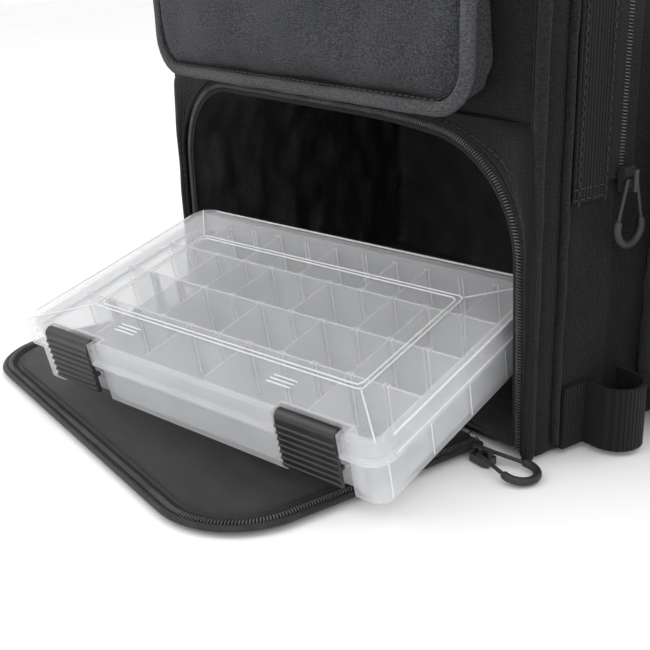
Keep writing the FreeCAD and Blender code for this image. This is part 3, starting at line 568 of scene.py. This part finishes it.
def wrap_panel():
    """One cloth band up the right side, over the top and down the left, with its seams pulled in."""
    line = arch(body_half, body_top, shoulder_radius, 0.001, 0, step=0.009)
    seams = (front_y + 0.020, front_y + 0.0595, back_y - 0.012)
    seam_depth = 0.0016
    seam_width = 0.003
    edge_roll = 0.006
    columns = 46
    rows = []
    for p in line:
        outward = Vector((0, 0, 1))
        if p.z < shoulder_z:
            outward = Vector((math.copysign(1, p.x), 0, 0))
        elif abs(p.x) > body_half - shoulder_radius:
            centre = Vector((math.copysign(body_half - shoulder_radius, p.x), 0, shoulder_z))
            outward = (p - centre).normalized()
        row = []
        for j in range(columns + 1):
            y = front_y + (back_y - front_y) * j / columns
            edge = min(y - front_y, back_y - y)
            lift = -edge_roll * math.exp(-edge / 0.004)
            for seam in seams:
                lift -= seam_depth * math.exp(-((y - seam) / seam_width) ** 2)
            place = p + Vector((0, y, 0))
            calm = 0.35 if y < front_y + 0.07 else 1.0
            lift += calm * (wrinkle(place, 0.07, 0.0028) + wrinkle(place, 0.022, 0.0009)) - 0.001
            if outward.z > 0.99:
                lift = min(lift, -0.0014)
            row.append(place + outward * lift)
        rows.append(row)
    obj = grid_object("side_and_top_cloth", rows)
    thicken(obj, SHELL_CLOTH)
    apply_modifier(obj, "SUBSURF", levels=1)
    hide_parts("side_panel_left", "side_panel_right", "top_panel")
    finish_mesh(obj, charcoal, "pack")
    sink = 0.0035
    for name, y in (("front_corner_seam", front_y + sink), ("back_corner_seam", back_y - sink)):
        corner = arch(body_half - sink, body_top - sink, shoulder_radius - 0.003, 0.004, y)
        piping(name, corner, 0.0034, black_trim, "pack")


def face_panel(name, y, outward, foot, crown, node):
    """A crowned upright panel with the bag's round shoulders."""
    rows = []
    levels = 44
    columns = 36
    for i in range(levels + 1):
        z = foot + (body_top - foot) * i / levels
        half = body_half - 0.001
        if z > shoulder_z:
            rest = max(0.0, shoulder_radius ** 2 - (z - shoulder_z) ** 2)
            half = body_half - shoulder_radius + math.sqrt(rest)
        row = []
        for j in range(columns + 1):
            x = half * (j / columns * 2 - 1)
            side = min(half - abs(x), z - foot, (body_top - z) * 1.2)
            lift = crown * (1 - math.exp(-max(side, 0) / 0.03)) - 0.004 * math.exp(-max(side, 0) / 0.005)
            place = Vector((x, y, z))
            lift += wrinkle(place, 0.09, 0.002) + wrinkle(place, 0.025, 0.0007)
            lift = min(lift, crown + 0.0008)
            row.append(place + Vector((0, outward * lift, 0)))
        rows.append(row)
    obj = grid_object(name, rows)
    thicken(obj, SHELL_CLOTH, outward)
    apply_modifier(obj, "SUBSURF", levels=1)
    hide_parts(node)
    finish_mesh(obj, charcoal, "pack")


def bag_foot():
    """The base cloth, rolled up at its edges."""
    rows = []
    steps = 96
    roundness = 0.22
    profile = ((0.012, 0.006), (0.003, 0.006), (0.001, 0.003), (0.006, 0.0014), (0.02, 0.0012),
               (0.08, 0.0012), (0.112, 0.0012))
    for inset, z in profile:
        row = []
        half_x = body_half - inset
        half_y = back_y - inset
        for i in range(steps):
            angle = math.tau * i / steps
            c, s = math.cos(angle), math.sin(angle)
            x = half_x * math.copysign(abs(c) ** roundness, c)
            y = half_y * math.copysign(abs(s) ** roundness, s)
            row.append(Vector((x, y, z)))
        rows.append(row)
    obj = grid_object("bag_foot_cloth", rows, closed=True)
    thicken(obj, BASE_CLOTH, 1.0)
    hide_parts("base_panel")
    finish_mesh(obj, charcoal, "pack")


def pocket_lining():
    """The dark tunnel behind the mouth, closed at its back, with slack folds in its sides."""
    rows = []
    gap = 0.004
    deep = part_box("back_panel")[0].y - gap
    mouth = arch(opening_half - gap, opening_top - gap, OPENING_CORNER - gap, 0.006, 0, step=0.006,
                 sag=opening_sag)
    floor = even_path([mouth[-1], mouth[0]], 0.008)[1:-1]
    ring = mouth + floor
    centre = Vector((0, 0, 0.08))
    levels = 34
    for k in range(levels + 1):
        depth = front_y + 0.001 + (deep - front_y) * k / levels
        row = []
        for p in ring:
            place = Vector((p.x, depth, p.z))
            wide = 1 + 0.03 * min(1.0, k / 6)
            place.x *= wide
            slack = min(1.0, k / 5)
            fold = wrinkle(Vector((p.x * 0.4, depth * 2.2, p.z)), 0.03, 0.006) * slack
            fold += wrinkle(place, 0.015, 0.002) * slack
            if p.z > 0.012:
                place += (centre - Vector((p.x, 0, p.z))).normalized() * (fold + 0.002 * slack)
            else:
                place.z += 0.0015 * slack
            row.append(place)
        rows.append(row)
    last = rows[-1]
    for share in (0.8, 0.5, 0.2, 0.01):
        rows.append([Vector((p.x * share, p.y, centre.z + (p.z - centre.z) * share)) for p in last])
    obj = grid_object("tray_pocket_lining", rows, closed=True)
    apply_modifier(obj, "SUBSURF", levels=1)
    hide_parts("tray_pocket_ceiling")
    finish_mesh(obj, lining, "pack")


def mouth_zip():
    """Coil and tape round the mouth."""
    inset = 0.002
    line = arch(opening_half - inset, opening_top - inset, OPENING_CORNER - inset, opening_foot,
                front_y + 0.0018, sag=opening_sag)
    obj = band("mouth_zip_tape", line, (0, -1, 0), TAPE_WIDTH, TAPE_THICKNESS, tape, "pack")
    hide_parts("tray_opening_zip")
    coil("mouth_zip_coil", line, (0, -1, 0), "pack", 0.0005)


# ---- flap ------------------------------------------------------------------------------------------
def flap_edge(inset, z, step=0.004):
    """A line round the flap's free edge, from hinge to hinge, set in by the inset."""
    low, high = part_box("tray_flap")
    half = high.x - inset
    far = low.y + inset
    radius = FLAP_CORNER - inset
    points = [Vector((half, high.y, z)), Vector((half, far + radius, z))]
    for i in range(1, CORNER_STEPS):
        angle = math.pi / 2 * i / CORNER_STEPS
        x = half - radius + radius * math.cos(angle)
        points.append(Vector((x, far + radius - radius * math.sin(angle), z)))
    points.append(Vector((half - radius, far, z)))
    points += [Vector((-p.x, p.y, p.z)) for p in reversed(points)]
    return even_path(points, step)


def flap_profile(top):
    """Shares of the way in from the rim, with the height there, from the underside round to the top."""
    underside = [(0.999, 0.0006), (0.7, 0.0006), (0.3, 0.0005), (0.05, 0.0008), (0.012, 0.0022)]
    edge = [(0.0, top * 0.5), (0.012, top * 0.82), (0.016, top * 0.9), (0.022, top * 0.62)]
    edge += [(0.065, top * 0.62), (0.072, top * 0.93), (0.1, top * 0.97)]
    face = [(share, top) for share in (0.14, 0.2, 0.27, 0.35, 0.44, 0.54, 0.64, 0.74, 0.84, 0.93, 0.999)]
    return underside + edge + face


def flap_lift(place, share):
    """How far the lining wrinkles up or down at a place, calm near the rim."""
    calm = min(1.0, (share - 0.1) / 0.15)
    ridge = wrinkle(Vector((place.x * 0.35, place.y * 2.0, 0.3)), 0.035, 0.0028)
    ridge += wrinkle(Vector((place.x, place.y, 0.7)), 0.05, 0.0022)
    return calm * (ridge - 0.0012)


def flap():
    """The open flap: a padded leaf with satin lining, piled edge and a coil zipper round its rim."""
    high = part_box("tray_flap")[1]
    top = high.z
    rim = flap_edge(0, 0)
    gather = 0.02
    rows = []
    for share, height in flap_profile(top):
        row = []
        for p in rim:
            inner = Vector((0, high.y + (p.y - high.y) * gather, 0))
            spread = Vector((p.x * (1 - share), high.y + (p.y - high.y) * (1 - share), 0))
            place = spread.lerp(inner, share * gather)
            lift = 0.0
            if share > 0.1 and height > top / 2:
                lift = flap_lift(place, share)
            root = min(1.0, max(0.0, (high.y - place.y) / 0.02))
            row.append(Vector((place.x, place.y, max(height + lift * root, height * 0.6))))
        rows.append(row)
    obj = grid_object("tray_flap_leaf", rows)
    close_holes(obj)
    apply_modifier(obj, "SUBSURF", levels=1)
    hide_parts("tray_flap")
    finish_mesh(obj, flap_lining, "flap")
    obj.data.materials.append(charcoal)
    for face in obj.data.polygons:
        if face.center.z < top * 0.42:
            face.material_index = 1
    line = flap_edge(0.0065, top - 0.0022)
    zip_band = band("flap_zip_tape", line, (0, 0, 1), TAPE_WIDTH, TAPE_THICKNESS, tape, "flap")
    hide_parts("flap_zip")
    coil("flap_zip_coil", line, (0, 0, 1), "flap", 0.0006)
    stitches("flap_topstitch", flap_edge(0.0125, top + 0.0001), (0, 0, 1), "flap")


# ---- pockets and side trim ---------------------------------------------------------------------------
def rounded_loop(u0, u1, v0, v1, radius, place, step=0.004):
    """A closed rounded rectangle in a plane given by place(u, v)."""
    points = []
    corners = ((u1 - radius, v1 - radius, 0), (u0 + radius, v1 - radius, 90), (u0 + radius, v0 + radius, 180),
               (u1 - radius, v0 + radius, 270))
    for cu, cv, start in corners:
        for i in range(9):
            angle = math.radians(start + 90 * i / 8)
            points.append(place(cu + radius * math.cos(angle), cv + radius * math.sin(angle)))
    points.append(points[0])
    return even_path(points, step)


def front_pocket():
    obj = stuffed("front_pocket_body", "front_pocket", "pack", heather,
                  0.0055, 0.006, 0.0015, creases=0.002)
    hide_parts("front_pocket")
    low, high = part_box("front_pocket_piping")
    y = high.y + 0.0015
    loop = rounded_loop(low.x + 0.005, high.x - 0.005, low.z + 0.004, high.z - 0.005, TRIM_CORNER,
                        lambda u, v: Vector((u, y, v)))
    trim = piping("front_pocket_piping_cord", loop, 0.0040, grey_trim, "pack")
    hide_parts("front_pocket_piping")
    inner = rounded_loop(low.x + 0.009, high.x - 0.009, low.z + 0.009, high.z - 0.009, 0.019,
                         lambda u, v: Vector((u, low.y + 0.0045, v)))
    stitches("front_pocket_topstitch", inner, (0, -1, 0), "pack")
    zip_low, zip_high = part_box("front_pocket_zip")
    y = (zip_low.y + zip_high.y) / 2
    line = even_path([Vector((zip_low.x, y, zip_high.z)), Vector((zip_high.x, y, zip_high.z))], 0.004)
    tape_band = band("front_pocket_zip_tape", line, (0, 0, 1), 0.014, 0.0009, tape, "pack")
    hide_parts("front_pocket_zip")
    coil("front_pocket_zip_coil", line, (0, 0, 1), "pack", 0.0006)


def side_pocket(side, word):
    node = "side_pocket_" + word
    obj = stuffed(node + "_body", node, "pack", heather, 0.005, 0.007, 0.0012,
                  creases=0.002)
    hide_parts(node)
    low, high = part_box("side_pocket_piping_" + word)
    x = low.x - 0.003 if side > 0 else high.x + 0.003
    loop = rounded_loop(low.y + 0.005, high.y - 0.005, low.z + 0.005, high.z - 0.005, TRIM_CORNER,
                        lambda u, v: Vector((x, u, v)))
    trim = piping("side_pocket_piping_cord_" + word, loop, 0.0036, grey_trim, "pack")
    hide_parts("side_pocket_piping_" + word)
    seam_x = x + side * 0.004
    seam_z = low.z + 0.045
    ends = [Vector((seam_x, y, seam_z)) for y in (low.y + 0.006, high.y - 0.006)]
    foot = even_path(ends, 0.004)
    piping("side_pocket_seam_" + word, foot, 0.0012, grey_trim, "pack")


def side_trim(side, word):
    outward = (side, 0, 0)
    low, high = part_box("side_piping_" + word)
    x = side * (body_half + 0.0002)
    y = (low.y + high.y) / 2
    line = even_path([Vector((x, y, low.z)), Vector((x, y, high.z))], 0.005)
    trim = piping("side_seam_piping_" + word, line, 0.0022, black_trim, "pack")
    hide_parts("side_piping_" + word)
    low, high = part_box("side_webbing_" + word)
    y = (low.y + high.y) / 2
    x = side * (body_half + 0.001)
    line = even_path([Vector((x, y, low.z)), Vector((x, y, high.z))], 0.01)
    strip = band("side_placket_" + word, line, outward, high.y - low.y, 0.0022,
                 loop_web, "pack", 0.0006)
    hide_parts("side_webbing_" + word)
    surface = side * (body_half + 0.0026)
    for offset in (-1, 1):
        edge = y + offset * ((high.y - low.y) / 2 - 0.003)
        ends = [Vector((surface, edge, low.z)), Vector((surface, edge, high.z))]
        stitches("placket_stitch_%s_%d" % (word, offset + 1), ends, outward, "pack")
    for level in (0.002, 0.0075):
        across = [Vector((surface, y - 0.012, low.z + level)), Vector((surface, y + 0.012, low.z + level))]
        stitches("bar_tack_%s_%d" % (word, round(level * 1e4)), across, outward, "pack")


def main_zip():
    low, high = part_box("main_zip")
    y = (low.y + high.y) / 2
    line = arch(high.x - 0.0014, high.z - 0.0014, shoulder_radius, low.z, y)
    centre_x = body_half - shoulder_radius

    def outward(p):
        if p.z < shoulder_z:
            return (math.copysign(1, p.x), 0, 0)
        if abs(p.x) > centre_x:
            return (p - Vector((math.copysign(centre_x, p.x), p.y, shoulder_z))).normalized()
        return (0, 0, 1)

    obj = band("main_zip_tape", line, outward, 0.020, 0.0009, tape, "pack")
    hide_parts("main_zip")
    coil("main_zip_coil", line, outward, "pack", 0.0002)


# ---- carrying gear -------------------------------------------------------------------------------------
def carrying_gear():
    pads = stuffed("back_pad_cushions", "back_pads", "pack", foam_mesh, 0.005, 0.007, 0.002,
                   only_outer=False)
    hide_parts("back_pads")
    for _, word in SIDES:
        node = "shoulder_strap_" + word
        strap = stuffed("shoulder_strap_pad_" + word, node, "pack", foam_mesh,
                        0.005, 0.004, 0.0015, only_outer=False)
        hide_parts(node)


# ---- pieces that keep their own shape --------------------------------------------------------------------
def dress(node, mat, edge=0.0):
    """Gives a rigid CAD piece its material and softens its edges."""
    obj = frame["nodes"][node]
    obj.data.materials.clear()
    obj.data.materials.append(mat)
    if edge:
        modifier = obj.modifiers.new("bevel", "BEVEL")
        modifier.width = edge
        modifier.segments = 2
        modifier.limit_method = "ANGLE"
        modifier.angle_limit = math.radians(40)


def rigid_pieces():
    dress("tray_base", base_plastic)
    dress("tray_lid", lid_plastic, 0.0005)
    dress("tray_dividers", rib_plastic)
    for _, word in SIDES:
        dress("tray_latch_" + word, latch_plastic, 0.0003)
        dress("rod_loop_" + word, loop_web, 0.0006)
        dress("ladder_lock_" + word, buckle_plastic, 0.0008)
        dress("strap_tail_" + word, strap_web, 0.0005)
        dress("side_zip_slider_" + word, slider_enamel, 0.0006)
        dress("side_zip_pull_" + word, pull_rubber)
    dress("pocket_zip_slider", slider_enamel, 0.0006)
    dress("pocket_zip_pull", pull_rubber)
    dress("tray_zip_slider", slider_enamel, 0.0006)
    dress("tray_zip_pull", pull_rubber)
    dress("top_handle", strap_web, 0.0008)


# ---- tray details ---------------------------------------------------------------------------------------
def tray_frame():
    """The tray's own middle and its length, depth and height directions, from where its hinges are."""
    joints = {joint["name"]: joint for joint in frame["joints"]}
    along = -Vector(joints["lid_hinge"]["axis"]).normalized()
    hinge = Vector(joints["lid_hinge"]["pos_m"])
    to_latch = Vector(joints["latch_hinge_left"]["pos_m"]) - hinge
    # The lid's hinge and the latches' hinges differ by this much in height.
    rise = 0.0085
    hinge_behind_tray = 0.0026
    reach = math.sqrt(to_latch.length_squared - rise * rise)
    toward = to_latch.normalized()
    square = along.cross(toward)
    cos = reach / to_latch.length
    sin = rise / to_latch.length
    depth = (-toward * cos - square * sin).normalized()
    up = along.cross(depth).normalized()
    middle = hinge - depth * (TRAY_DEPTH / 2 + hinge_behind_tray) - up * (TRAY_HEIGHT - LID_SKIRT)
    return middle, along, depth, up


tray_middle, tray_along, tray_deep, tray_up = tray_frame()


def tray_point(x, y, z):
    """A place given along the tray's length, depth and height."""
    return tray_middle + tray_along * x + tray_deep * y + tray_up * z


def flat_loop(half_x, half_y, radius, z):
    return rounded_loop(-half_x, half_x, -half_y, half_y, radius, lambda u, v: tray_point(u, v, z))


def clear_edges(name, lines, radius, sides, body):
    """Fine lines of milkier clear plastic on real moulded edges; their extra whiteness is a painted highlight
    where the edges catch the light.
    """
    finish_mesh(tube_from(name, lines, radius, sides), edge_highlight_plastic, body)


def lid_details(half_x, half_y, top):
    """The lid's panel, corner creases, rims and embossed bars."""
    inset = 0.0345
    panel_step = 0.003
    corner = 0.014
    panel = flat_loop(half_x - inset, half_y - inset, 0.002, top + 0.0007)
    inner_panel = flat_loop(half_x - inset - panel_step, half_y - inset - panel_step, 0.002, top + 0.0008)
    creases = []
    for sx in (-1, 1):
        for sy in (-1, 1):
            creases.append([tray_point(sx * (half_x - inset), sy * (half_y - inset), top + 0.0005),
                            tray_point(sx * (half_x - 0.004), sy * (half_y - 0.004), top)])
    clear_edges("lid_creases", [panel, inner_panel] + creases, 0.0005, 2, "lid")
    ends = (-half_y + corner, half_y - corner)
    skirt = top - LID_SKIRT + 0.0006
    back_rim = [tray_point(x, half_y - 0.0006, top - 0.0006) for x in (-half_x + corner, half_x - corner)]
    side_rims = [[tray_point(s * (half_x - 0.0006), y, top - 0.0006) for y in ends] for s in (-1, 1)]
    feet = [[tray_point(s * (half_x - 0.0004), y, skirt) for y in ends] for s in (-1, 1)]
    clear_edges("lid_rims", [back_rim] + side_rims + feet, 0.0006, 2, "lid")
    marks = []
    for side in (-1, 1):
        for k in range(3):
            y = -half_y + 0.020 + 0.003 * k
            marks.append([tray_point(side * x, y, top + 0.0002) for x in (0.052, 0.068)])
    clear_edges("lid_embossed_bars", marks, 0.0005, 2, "lid")


def row_details(half_x, inner_z):
    """The tops and ends of the tray's row walls, and the ribs that hold the dividers."""
    tops = []
    for k in (1, 2, 3):
        y = FIRST_ROW_WALL + k * ROW_PITCH
        tops.append([tray_point(-half_x + 0.007, y, inner_z), tray_point(half_x - 0.007, y, inner_z)])
    for k in range(5):
        y = FIRST_ROW_WALL + k * ROW_PITCH
        for side in (-1, 1):
            x = side * (half_x - 0.0052)
            tops.append([tray_point(x, y, 0.0015), tray_point(x, y, TRAY_HEIGHT - LID_SKIRT - 0.002)])
    clear_edges("row_wall_tops", tops, 0.0005, 2, "tray")
    spikes = []
    slots = 10
    pitch = (TRAY_LENGTH - 0.0136) / (slots + 1)
    half_slot = 0.00135
    rib_out = 0.0016
    for k in (1, 2, 3, 4):
        y = FIRST_ROW_WALL + k * ROW_PITCH
        faces = (-rib_out, rib_out) if k < 4 else (-rib_out,)
        for slot in range(slots):
            for offset in (-half_slot, half_slot):
                x = pitch * (slot - (slots - 1) / 2) + offset
                for face in faces:
                    foot = tray_point(x, y + face, 0.003)
                    spikes.append([foot, tray_point(x, y + face * 0.6, inner_z + 0.0006)])
    clear_edges("slot_ribs", spikes, 0.0007, 1, "tray")


def tray_details():
    """Moulded edges, creases and slot ribs on the clear tray, drawn milkier as painted highlights where they
    catch the light.
    """
    lid_details(TRAY_LENGTH / 2, TRAY_DEPTH / 2, TRAY_HEIGHT)
    row_details(TRAY_LENGTH / 2, TRAY_HEIGHT - 0.0055)


# ---- stage -------------------------------------------------------------------------------------------------
def stage():
    reach = 6
    drop = -0.0005
    floor = grid_object("floor", [[Vector((x, y, drop)) for x in (-reach, reach)] for y in (-reach, reach)])
    mat, tree, shader = new_material("floor_white", (0.9, 0.9, 0.9), 0.6)
    shade = blend_colours(tree, noise_node(tree, 2), (0.94, 0.94, 0.94), (0.96, 0.96, 0.96))
    tree.links.new(shade, shader.inputs["Base Color"])
    floor.data.materials.append(mat)
    world = bpy.data.worlds.new("studio")
    world.use_nodes = True
    world.node_tree.nodes["Background"].inputs["Color"].default_value = (1, 1, 1, 1)
    world.node_tree.nodes["Background"].inputs["Strength"].default_value = 1.0
    bpy.context.scene.world = world
    bpy.context.scene.view_settings.view_transform = "Standard"
    aim = Vector((0, -0.1, 0.1))
    lamps = (("key", (-0.6, -1.4, 1.5), 1.4, 12), ("fill", (1.6, -0.9, 1.1), 1.2, 5),
             ("top", (0.0, 0.3, 2.0), 1.6, 7))
    for name, place, size, power in lamps:
        data = bpy.data.lights.new(name, "AREA")
        data.size = size
        data.energy = power
        lamp = bpy.data.objects.new(name, data)
        lamp.location = place
        lamp.rotation_mode = "QUATERNION"
        lamp.rotation_quaternion = (aim - Vector(place)).to_track_quat("-Z", "Y")
        bpy.context.scene.collection.objects.link(lamp)


def camera():
    data = bpy.data.cameras.new("camera")
    data.sensor_width = 36
    data.lens = 56.22
    data.clip_start = 0.02
    obj = bpy.data.objects.new("camera", data)
    right = Vector((0.5775, 0.8156, -0.0347))
    up = Vector((-0.2661, 0.2282, 0.9365))
    back = right.cross(up).normalized()
    up = back.cross(right).normalized()
    turn = Matrix((right.normalized(), up, back)).transposed()
    obj.matrix_world = Matrix.Translation((0.5282, -0.4767, 0.2653)) @ turn.to_4x4()
    bpy.context.scene.collection.objects.link(obj)
    bpy.context.scene.camera = obj


camera()
stage()
rigid_pieces()
tray_details()
mouth_surround()
wrap_panel()
face_panel("upper_front_cloth", front_y, -1, lower_top - 0.002, 0.0, "main_front_panel")
face_panel("back_cloth", back_y, 1, 0.002, 0.002, "back_panel")
bag_foot()
pocket_lining()
mouth_zip()
flap()
front_pocket()
main_zip()
for side, word in SIDES:
    side_pocket(side, word)
    side_trim(side, word)
carrying_gear()
